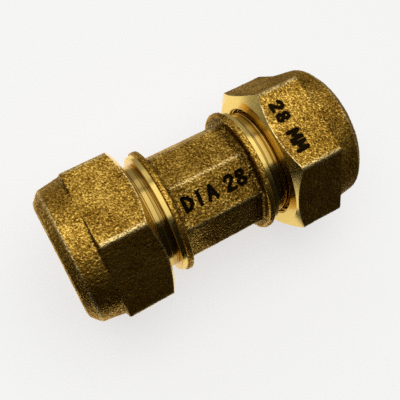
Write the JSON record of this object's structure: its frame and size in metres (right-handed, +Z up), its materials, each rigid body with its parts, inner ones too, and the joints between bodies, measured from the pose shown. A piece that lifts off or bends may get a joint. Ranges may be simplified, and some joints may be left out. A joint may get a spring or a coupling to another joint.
{
  "type": "compression fitting",
  "caption": "Straight brass compression coupling: an octagonal cast body with threaded ends and hexagonal nuts that squeeze gaskets and grip the tubes.",
  "frame": {"origin": "middle of the fitting on the tube axis, halfway between the nuts' end faces", "axes": "+X along the tube axis, +Z up with the fitting lying on a corner of each nut"},
  "size_m": [0.0972, 0.0516, 0.0486],
  "materials": {
    "cast_brass": "sand-cast, rough, with machined threads and inboard nut faces",
    "gasket_rubber": "moulded, matt",
    "spring_bronze": "drawn wire",
    "washer_brass": "stamped, smooth",
    "gripper_steel": "turned, satin"
  },
  "bodies": {
    "body": {"fitting_body": "cast_brass"},
    "left_held_pieces": {"left_gasket": "gasket_rubber", "left_garter_spring": "spring_bronze", "left_slip_washer": "washer_brass", "left_gripper_band": "gripper_steel"},
    "left_nut": {"left_coupling_nut": "cast_brass"},
    "right_held_pieces": {"right_gasket": "gasket_rubber", "right_garter_spring": "spring_bronze", "right_slip_washer": "washer_brass", "right_gripper_band": "gripper_steel"},
    "right_nut": {"right_coupling_nut": "cast_brass"}
  },
  "joints": [
    {"name": "left_nut_advance", "type": "slide", "parent": "body", "child": "left_held_pieces", "axis": [1, 0, 0], "range_m": [-0.01105, 0.00376]},
    {"name": "left_nut_turn", "type": "hinge", "parent": "left_held_pieces", "child": "left_nut", "pos_m": [-0.031, 0, 0], "axis": [1, 0, 0], "range_deg": [-1800, 612]},
    {"name": "right_nut_advance", "type": "slide", "parent": "body", "child": "right_held_pieces", "axis": [-1, 0, 0], "range_m": [-0.01105, 0.00376]},
    {"name": "right_nut_turn", "type": "hinge", "parent": "right_held_pieces", "child": "right_nut", "pos_m": [0.031, 0, 0], "axis": [-1, 0, 0], "range_deg": [-1800, 612]}
  ],
  "couplings": [
    {"joint": "left_nut_advance", "follows": "left_nut_turn", "m_per_rad": 0.00035152},
    {"joint": "right_nut_advance", "follows": "right_nut_turn", "m_per_rad": 0.00035152}
  ]
}
